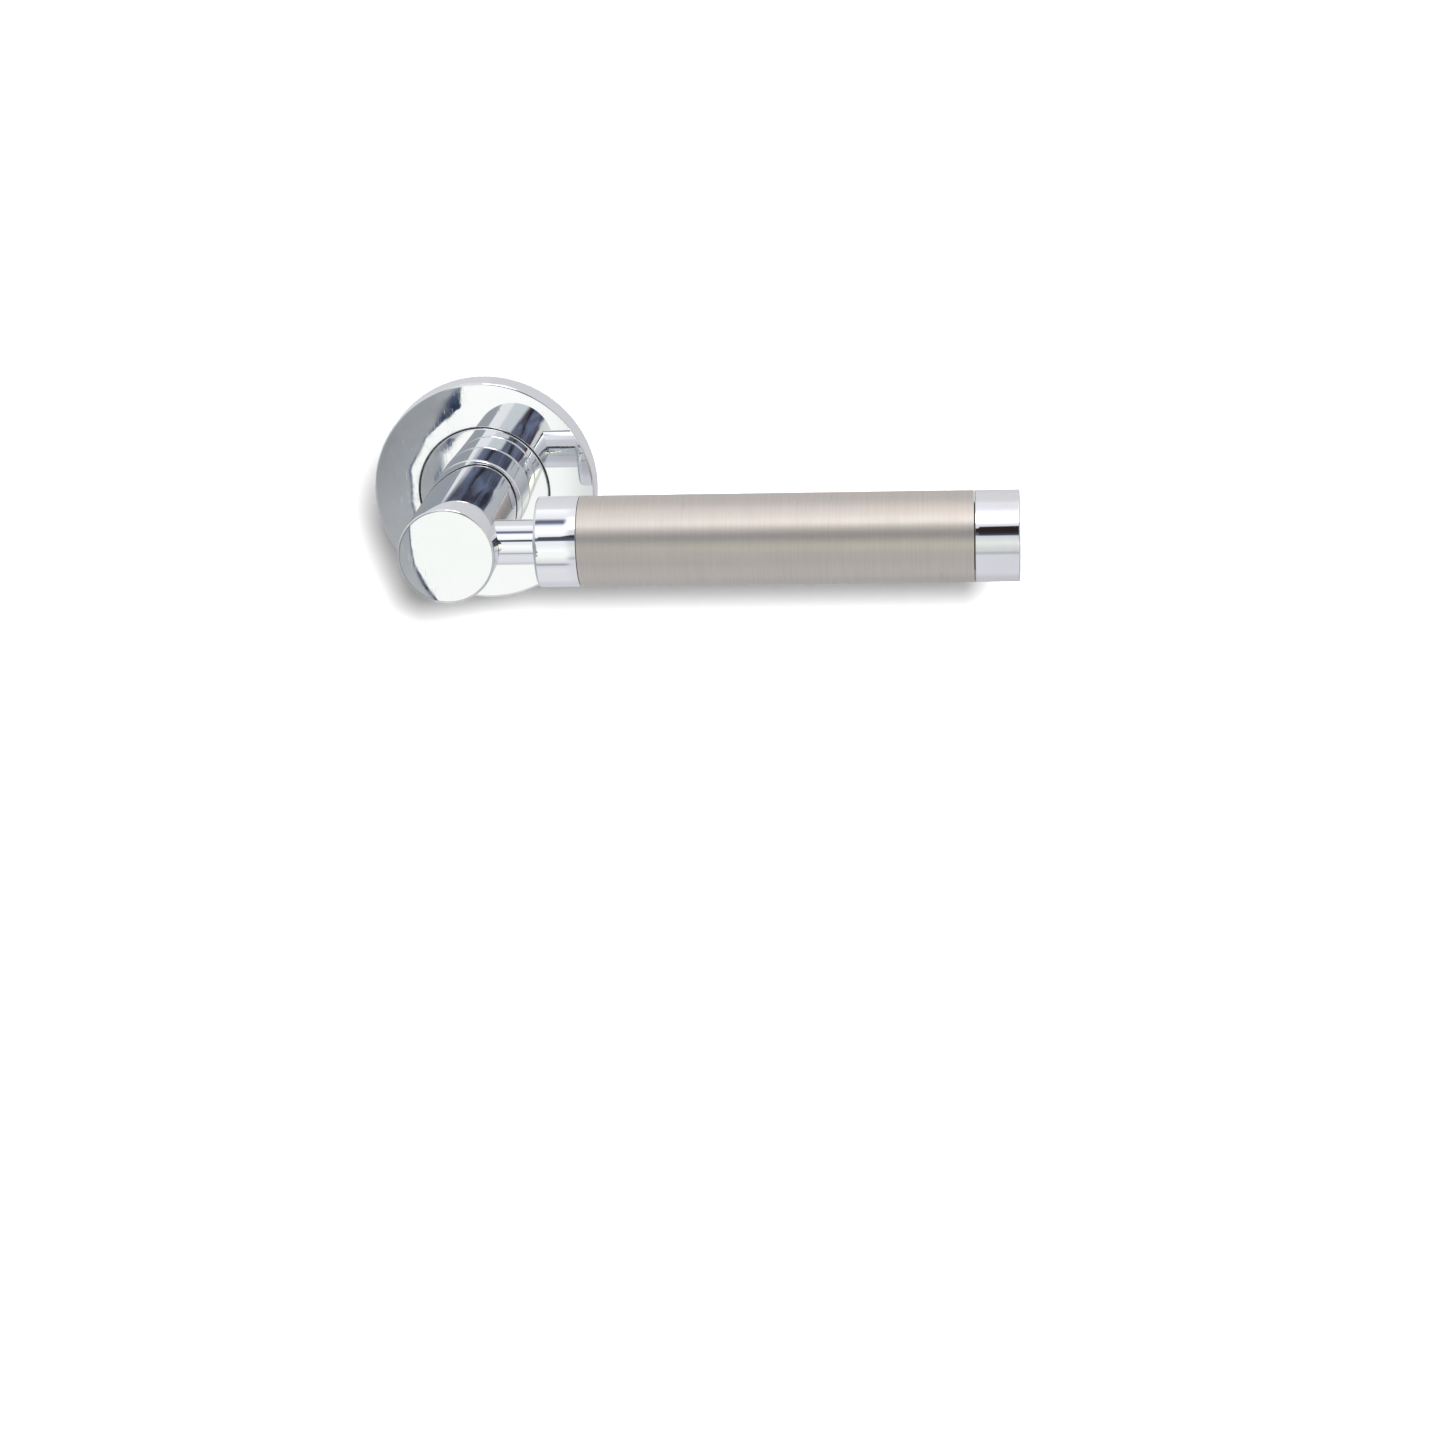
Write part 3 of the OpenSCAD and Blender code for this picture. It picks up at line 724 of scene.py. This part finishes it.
turned(
    "ferrule_polished",
    [
        (SPIGOT_R, FERRULE_X + FERRULE_WEB, 0), (SPIGOT_R, FERRULE_X, 0.1), (LEVER_R - ROLL, FERRULE_X, 0.6),
        (LEVER_R, FERRULE_X + ROLL_LEN, ROLL_R), (LEVER_R, GRIP_X - FAR_ROLL_LEN, FAR_ROLL_R),
        (LEVER_R - FAR_ROLL, GRIP_X - JOINT_GAP, 0.1), (TENON_R, GRIP_X - JOINT_GAP, 0),
        (TENON_R, GRIP_X + TENON_LEN, 0), (ROD_R, GRIP_X + TENON_LEN, 0), (ROD_R, FERRULE_X + FERRULE_WEB, 0),
    ],
    along_lever, "lever", "polished_chrome", "ferrule", steps=8, painted_shade_corners=(6,),
)
turned(
    "grip_tube_satin",
    [
        (TENON_R, GRIP_X, 0), (LEVER_R, GRIP_X, 0.12), (LEVER_R, CAP_X, 0.1), (PLUG_LIP_R, CAP_X, 0),
        (PLUG_LIP_R, CAP_X - PLUG_LIP_LEN, 0), (TENON_R, CAP_X - PLUG_LIP_LEN, 0),
    ],
    along_lever, "lever", "satin_nickel", "grip_tube", painted_shade_corners=(0, 3),
)
turned(
    "end_cap_polished",
    [
        (CAP_TENON_IN, CAP_X - CAP_TENON_LEN, 0), (CAP_TENON_R, CAP_X - CAP_TENON_LEN, 0),
        (CAP_TENON_R, CAP_X + JOINT_GAP, 0), (LEVER_R - ROLL / 2, CAP_X + JOINT_GAP, 0.1),
        (LEVER_R - ROLL / 3, CAP_X + CAP_ROLL_BEND, 0), (LEVER_R, CAP_X + ROLL_LEN, ROLL_R),
        (LEVER_R, LEVER_END, 0.4), (0, LEVER_END, 0),
        (0, CAP_X + CAP_WELL, 0), (CAP_TENON_IN, CAP_X + CAP_WELL, 0),
    ],
    along_lever, "lever", "polished_chrome", "end_cap", steps=8, painted_shade_corners=(2, 3),
)

# ---- Return spring ----
# The real spring winds up as the lever turns: its outer leg stays in the plate, and its raised leg goes round
# with the driver plate. Here it is one wire in a single shape, not moved with the lever.

BEND = 0.8  # length that a bend takes from each side of its corner
BEND_STEPS = 8
COIL_STEPS = 120
WIRE_SIDES = 16


def bend(start, corner, end):
    """A smooth bend from start to end, towards the corner between them."""
    points = []
    for k in range(BEND_STEPS + 1):
        t = k / BEND_STEPS
        points.append(start * (1 - t) ** 2 + corner * 2 * t * (1 - t) + end * t ** 2)
    return points


def spring_path():
    """The middle of the wire: outer leg, coil and raised leg, with a bend at each end of the coil."""
    short = BEND / COIL_R
    coil = []
    for k in range(COIL_STEPS + 1):
        a = COIL_START + short + (COIL_END - COIL_START - 2 * short) * k / COIL_STEPS
        coil.append(out_of_door(COIL_R, a, COIL_LOW + COIL_PITCH * (a - COIL_START) / FULL_TURN))
    outer_leg = out_of_door(COIL_R + BEND, COIL_START, COIL_LOW)
    outer_corner = out_of_door(COIL_R, COIL_START, COIL_LOW)
    raised_corner = out_of_door(COIL_R, COIL_END, COIL_HIGH)
    raised_leg = out_of_door(COIL_R, COIL_END, COIL_HIGH + BEND)
    return [
        out_of_door(LEG_END_R, COIL_START, COIL_LOW), *bend(outer_leg, outer_corner, coil[0]),
        *coil[1:-1],
        *bend(coil[-1], raised_corner, raised_leg), out_of_door(COIL_R, COIL_END, LEG_TOP),
    ]


def wire(name, path, radius):
    """A round wire along a path, closed at both ends, with normals that are smooth along it."""
    verts, faces = [], []
    across = None
    for i, at in enumerate(path):
        ahead = (path[min(i + 1, len(path) - 1)] - path[max(i - 1, 0)]).normalized()
        across = ahead.orthogonal() if across is None else across - ahead * across.dot(ahead)
        across.normalize()
        other = ahead.cross(across)
        for j in range(WIRE_SIDES):
            a = FULL_TURN * j / WIRE_SIDES
            verts.append(at + (across * math.cos(a) + other * math.sin(a)) * radius)
    last = (len(path) - 1) * WIRE_SIDES
    for row in range(0, last, WIRE_SIDES):
        for j in range(WIRE_SIDES):
            k = (j + 1) % WIRE_SIDES
            faces.append([row + j, row + k, row + WIRE_SIDES + k, row + WIRE_SIDES + j])
    faces.append(list(reversed(range(WIRE_SIDES))))
    faces.append(list(range(last, last + WIRE_SIDES)))
    mesh = bpy.data.meshes.new(name)
    mesh.from_pydata(verts, [], faces)
    mesh.polygons.foreach_set("use_smooth", [len(face) == 4 for face in faces])
    mesh.update()
    return placed(name, mesh)


spring = wire("return_spring_wound", spring_path(), WIRE_R * MM)
spring.data.materials.append(finishes["spring_steel"])
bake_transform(spring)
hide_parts("return_spring")

# ---- Camera, at the photograph's viewing angle ----

camera_data = bpy.data.cameras.new("camera")
camera_data.sensor_width = 36
camera_data.lens = 73.93
camera = placed("camera", camera_data)
yaw, pitch, roll = math.radians(5.306), math.radians(19.42), math.radians(-2.228)
camera.matrix_world = (
    Matrix.Translation((0.1160, -0.6750, 0.1785))
    @ Matrix.Rotation(yaw, 4, "Z")
    @ Matrix.Rotation(math.pi / 2 - pitch, 4, "X")
    @ Matrix.Rotation(roll, 4, "Z")
)
bpy.context.scene.camera = camera

# ---- Studio, as the polished chrome shows it ----
# The world is a soft studio, described by direction in degrees: "turn" is the angle round the X axis, from
# straight out of the door, up and over, and "side" is the angle towards +X. A step is (angle, edge, soft
# width) and a hump is (angle, middle, half width).

CHROME_RETURNS = 0.84  # the share of light that the chrome gives back

world = bpy.data.worlds.new("studio")
bpy.context.scene.world = world
world.use_nodes = True
world.node_tree.nodes.clear()
sky = Graph(world.node_tree)

heading = sky.node("ShaderNodeTexCoord").outputs["Generated"]
split = sky.node("ShaderNodeSeparateXYZ")
sky.feed(split.inputs[0], heading)
x, y, z = split.outputs
outward = sky.math("MULTIPLY", y, -1.0)
turn = sky.math("MULTIPLY", sky.math("ARCTAN2", z, outward), 180 / math.pi)
side = sky.math("MULTIPLY", sky.math("ARCSINE", x), 180 / math.pi)


def seen(r, g, b, gain=1.0):
    """Light that the chrome shows as this colour, with gain for what is brighter than white."""
    linear = [((v / 255 + 0.055) / 1.055) ** 2.4 for v in (r, g, b)]
    return tuple(gain * v / CHROME_RETURNS for v in linear) + (1,)


def in_front():
    """The bright room in front: a run of areas to the left, one to the right, and a faint green glow."""
    left = sky.by_angle(turn, [
        (-180, seen(200, 201, 204)), (-146, seen(196, 198, 201)), (-125, seen(200, 202, 206)),
        (-112, seen(208, 207, 211)), (-101, seen(219, 219, 223)), (-60, seen(222, 222, 225)),
        (-50, seen(212, 213, 219)), (-44.5, seen(150, 148, 158)), (-39.5, seen(216, 216, 218)),
        (-30, seen(233, 235, 232)), (-20, seen(250, 250, 248)), (-10, seen(255, 255, 255, 1.1)),
        (0, seen(243, 246, 244)), (9, seen(236, 238, 238)), (31, seen(243, 242, 247)),
        (42, seen(255, 255, 255, 1.1)), (50, seen(252, 252, 254, 1.1)), (57, seen(240, 239, 249)),
        (61, seen(150, 155, 172)), (64.5, seen(104, 110, 126)), (69.5, seen(100, 106, 124)),
        (74, seen(200, 198, 205)), (77, seen(234, 233, 238)), (86, seen(242, 241, 245)),
        (100, seen(255, 255, 255)), (104, seen(247, 246, 248)), (109, seen(222, 220, 224)),
        (125, seen(216, 216, 219)), (150, seen(211, 211, 213)), (180, seen(200, 201, 204)),
    ])
    right = sky.by_angle(turn, [
        (-180, seen(200, 200, 204)), (-140, seen(186, 186, 190)), (-110, seen(196, 196, 200)),
        (-98, seen(207, 206, 211)), (-90, seen(212, 211, 217)), (-35, seen(212, 212, 216)),
        (-31.5, seen(200, 202, 206)), (-28.5, seen(172, 173, 175)), (-25.5, seen(190, 191, 193)),
        (-22, seen(206, 206, 209)), (-12, seen(214, 218, 214)), (-2, seen(230, 233, 227)),
        (6, seen(218, 221, 218)), (14, seen(206, 212, 215)), (40, seen(215, 214, 220)),
        (47, seen(246, 246, 252)), (50, seen(255, 252, 250, 2.7)), (61, seen(255, 252, 250, 2.7)),
        (80, seen(246, 245, 250, 1.05)), (88, seen(234, 233, 239)), (96, seen(231, 229, 234)),
        (106, seen(229, 228, 232)), (111, seen(217, 217, 220)), (125, seen(211, 210, 213)),
        (150, seen(210, 209, 212)), (165, seen(202, 202, 206)), (180, seen(200, 200, 204)),
    ])
    glow = sky.both(sky.inverse(sky.step(side, -5.6, 3)), sky.hump(turn, -15, 9))
    return sky.mix(glow, sky.mix(sky.step(side, -6.3, 2.5), left, right), seen(247, 249, 244))


def with_right_room(light):
    """The dimmer room to the far right."""
    room = sky.by_angle(turn, [
        (-180, seen(196, 197, 200)), (-90, seen(172, 174, 178)), (-45, seen(186, 190, 194)),
        (-20, seen(192, 196, 200)), (0, seen(185, 188, 193)), (20, seen(183, 187, 190)),
        (60, seen(207, 207, 210)), (120, seen(209, 209, 212)), (180, seen(196, 197, 200)),
    ])
    return sky.mix(sky.step(side, 15, 7), light, room)


def with_soft_lamps(light):
    """Lamps to the right, which only the brushed grip gathers: warm below, bright above, dim underneath."""
    beyond = sky.both(sky.step(side, 4.8, 1.6), sky.inverse(sky.step(side, 10.5, 2)))
    for middle, half_width, colour in (
        (-5, 8.5, seen(252, 247, 208, 2.3)),
        (84, 20, seen(255, 250, 246, 2.6)),
        (-122, 28, seen(140, 140, 143)),
    ):
        light = sky.mix(sky.both(beyond, sky.hump(turn, middle, half_width)), light, colour)
    return light


def with_left_room(light):
    """The grey room on the left. Its edge wanders with the turn, and its dark blue rim changes in width."""
    furthest = 30  # the edge's ramp holds angles from minus this to this
    stops = [
        (-180, -22), (-27, -22), (-23, -10.0), (-19.3, -10.8), (-18.2, -11.74), (-17.3, -12.25),
        (-16.2, -12.5), (-15, -12.6), (-14.3, -12.6), (-13.76, -12.54), (-13.27, -12.35), (-12.9, -12.11),
        (-12.46, -11.75), (-12.1, -11.32), (-11.8, -10.8), (-11.5, -10.42), (-10.9, -10.26),
        (-10.2, -10.22), (-9, -10.4), (-7, -12.5), (15, -13), (20, -22), (180, -22),
    ]
    stops = [(at, ((edge + furthest) / (2 * furthest),) * 3 + (1,)) for at, edge in stops]
    edge = sky.math("MULTIPLY_ADD", sky.by_angle(turn, stops, "B_SPLINE"), 2.0 * furthest, -furthest)
    flame = sky.hump(turn, -11.3, 0.9)
    ragged = sky.math("SUBTRACT", sky.noise(heading, 200, 2, 0.6), 0.5)
    edge = sky.math("MULTIPLY_ADD", ragged, sky.math("MULTIPLY_ADD", flame, 0.12, 0.03), edge)
    inside = sky.math("SUBTRACT", edge, side)
    in_room = sky.step(inside, 0.0, 0.08)

    room = sky.by_angle(turn, [
        (-180, seen(200, 201, 204)), (-90, seen(165, 168, 173)), (-45, seen(156, 160, 164)),
        (-20, seen(174, 177, 179)), (-16.5, seen(160, 163, 165)), (-14.5, seen(140, 143, 145)),
        (-12, seen(139, 142, 144)), (-10, seen(150, 154, 157)), (20, seen(152, 158, 166)),
        (45, seen(215, 217, 222)), (90, seen(224, 223, 226)), (150, seen(212, 211, 214)),
        (180, seen(200, 201, 204)),
    ])
    near_edge = sky.span(inside, 0.1, 1.6, 0.05, -0.2)
    haze = sky.math("MULTIPLY_ADD", sky.noise(heading, 45, 4, 0.65, 0.8), 0.6, near_edge)
    light = sky.mix(in_room, light, sky.mix(sky.span(haze, 0.0, 1.0), room, seen(182, 185, 188)))

    width = sky.math("MULTIPLY_ADD", sky.hump(turn, -11.2, 0.7), 0.58, 0.10)
    width = sky.math("MULTIPLY_ADD", sky.hump(turn, -18.4, 1.2), 0.22, width)
    rim = sky.both(in_room, sky.inverse(sky.step(sky.math("DIVIDE", inside, width), 1.0, 0.9)))
    deepest = sky.math("MAXIMUM", flame, sky.hump(turn, -18.4, 1.3))
    return sky.mix(rim, light, sky.mix(deepest, seen(104, 116, 134), seen(38, 50, 76)))


def with_camera_stand(light):
    """The camera and its stand, which the chrome shows as a dark, mottled shape above and to the right."""
    from_axis = sky.math("MULTIPLY", sky.math("ARCCOSINE", outward), 180 / math.pi)
    rays = sky.node("ShaderNodeCombineXYZ")
    sky.feed(rays.inputs[0], sky.math("MULTIPLY", from_axis, 0.9))
    sky.feed(rays.inputs[1], sky.math("MULTIPLY", sky.math("ARCTAN2", z, x), 2.4))
    mottle = sky.noise(rays.outputs[0], 1.0, 3, 0.6, 0.6)

    low_edge = sky.math("MULTIPLY_ADD", sky.past(side, 1.6), -1.35, 16.4)
    wobble = sky.math("MULTIPLY_ADD", sky.noise(heading, 9, 2, 0.5), 3.0, -1.5)
    high_edge = sky.math("MAXIMUM", sky.math("MULTIPLY_ADD", side, 1.3, 38.6), 25.0)
    high_edge = sky.math("MINIMUM", high_edge, 39.6)
    high_edge = sky.math("MULTIPLY_ADD", sky.past(side, 3.4), 1.6, high_edge)
    right_edge = sky.math("MINIMUM", sky.math("MULTIPLY_ADD", turn, 0.22, 13.0), 17.0)
    to_the_right = sky.step(side, 4, 4)
    far_wobble = sky.both(sky.math("MULTIPLY_ADD", sky.noise(heading, 7, 2, 0.5), 14.0, -7.0), to_the_right)
    far_mottle = sky.both(sky.math("SUBTRACT", mottle, 0.5), to_the_right)
    far_wobble = sky.math("MULTIPLY_ADD", far_mottle, 9.0, far_wobble)
    stand = sky.both(
        sky.step(turn, sky.math("ADD", low_edge, wobble), 3.0), sky.inverse(sky.step(turn, high_edge, 3.0)),
        sky.inverse(sky.step(sky.math("ADD", side, far_wobble), right_edge, 2.2)), sky.step(side, -16.5, 4),
    )

    colour = sky.mix(sky.step(side, -2, 4), seen(88, 96, 114), seen(48, 48, 54))
    blots = sky.both(sky.span(sky.noise(heading, 11, 3, 0.6, 0.8), 0.46, 0.62), sky.step(side, 5.5, 3))
    blush = sky.both(sky.span(sky.noise(heading, 15, 2, 0.5), 0.5, 0.64), sky.step(side, 4, 3))
    clouds = sky.both(sky.span(mottle, 0.42, 0.62), sky.inverse(sky.step(turn, 20, 3)))
    for mask, tint in (
        (sky.step(turn, 24, 8), seen(42, 36, 37)),
        (blots, seen(78, 86, 106)),
        (blush, seen(80, 64, 76)),
        (sky.inverse(sky.step(side, -5.5, 5)), seen(78, 78, 86)),
        (clouds, seen(104, 114, 136)),
        (sky.inverse(sky.step(side, -10.5, 2)), seen(100, 108, 122)),
    ):
        colour = sky.mix(mask, colour, tint)
    return sky.mix(stand, light, colour)


def background(colour):
    made = sky.node("ShaderNodeBackground")
    sky.feed(made.inputs["Color"], colour)
    return made.outputs[0]


# Diffuse surfaces see a plain, even light instead, and the lamp makes the shadows
EVEN_LIGHT = 0.32
studio_light = with_camera_stand(with_left_room(with_soft_lamps(with_right_room(in_front()))))
chosen = sky.node("ShaderNodeMixShader")
sky.feed(chosen.inputs[0], sky.node("ShaderNodeLightPath").outputs["Is Diffuse Ray"])
sky.feed(chosen.inputs[1], background(studio_light))
sky.feed(chosen.inputs[2], background((EVEN_LIGHT, EVEN_LIGHT, EVEN_LIGHT, 1)))
sky.feed(sky.node("ShaderNodeOutputWorld").inputs["Surface"], chosen.outputs[0])

# ---- Floor, backdrop and lamp ----
# The floor is low enough for the lever to turn down above it. The backdrop is a plain white wall all round.

FLOOR_Z = -0.1
BACKDROP_R = 1.4
BACKDROP_TOP = 3.0
BACKDROP_SIDES = 96
BACKDROP_GLOW = 1.05
LAMP_R = 0.024
LAMP_POWER = 235
LAMP_BESIDE_CAMERA = (0.016, 0.020, 0)  # in the camera's own directions: right, up, back


def staging(name, verts, faces, look):
    """A plain stage surface, which the chrome doesn't show."""
    mesh = bpy.data.meshes.new(name)
    mesh.from_pydata(verts, [], faces)
    made = placed(name, mesh)
    made.visible_glossy = made.visible_diffuse = made.visible_shadow = False
    plain = bpy.data.materials.new(name)
    plain.use_nodes = True
    mesh.materials.append(plain)
    shader = plain.node_tree.nodes["Principled BSDF"]
    shader.inputs["Specular IOR Level"].default_value = 0.0
    for label, value in look.items():
        shader.inputs[label].default_value = value


angles = [FULL_TURN * i / BACKDROP_SIDES for i in range(BACKDROP_SIDES)]
foot, top = [
    [(BACKDROP_R * math.cos(a), BACKDROP_R * math.sin(a), height) for a in angles]
    for height in (FLOOR_Z, BACKDROP_TOP)
]
nexts = [(i, (i + 1) % BACKDROP_SIDES) for i in range(BACKDROP_SIDES)]
staging(
    "floor", foot, [tuple(range(BACKDROP_SIDES))],
    {"Base Color": (0.93, 0.93, 0.93, 1), "Roughness": 0.9},
)
staging(
    "backdrop", foot + top, [(i, k, k + BACKDROP_SIDES, i + BACKDROP_SIDES) for i, k in nexts],
    {"Base Color": (0, 0, 0, 1), "Emission Color": (1, 1, 1, 1), "Emission Strength": BACKDROP_GLOW},
)

# The lamp is beside the camera, above and to its right, and doesn't fade with distance
lamp_data = bpy.data.lights.new("key", "POINT")
lamp_data.shadow_soft_size = LAMP_R
lamp_data.energy = LAMP_POWER
lamp_data.use_nodes = True
lamp_graph = Graph(lamp_data.node_tree)
falloff = lamp_graph.node("ShaderNodeLightFalloff")
falloff.inputs["Strength"].default_value = 1.0
lamp_graph.feed(lamp_data.node_tree.nodes["Emission"].inputs["Strength"], falloff.outputs["Constant"])
lamp = placed("key", lamp_data)
lamp.location = camera.matrix_world @ Vector(LAMP_BESIDE_CAMERA)
lamp.visible_glossy = lamp.visible_camera = False
bpy.context.scene.view_settings.view_transform = "Standard"
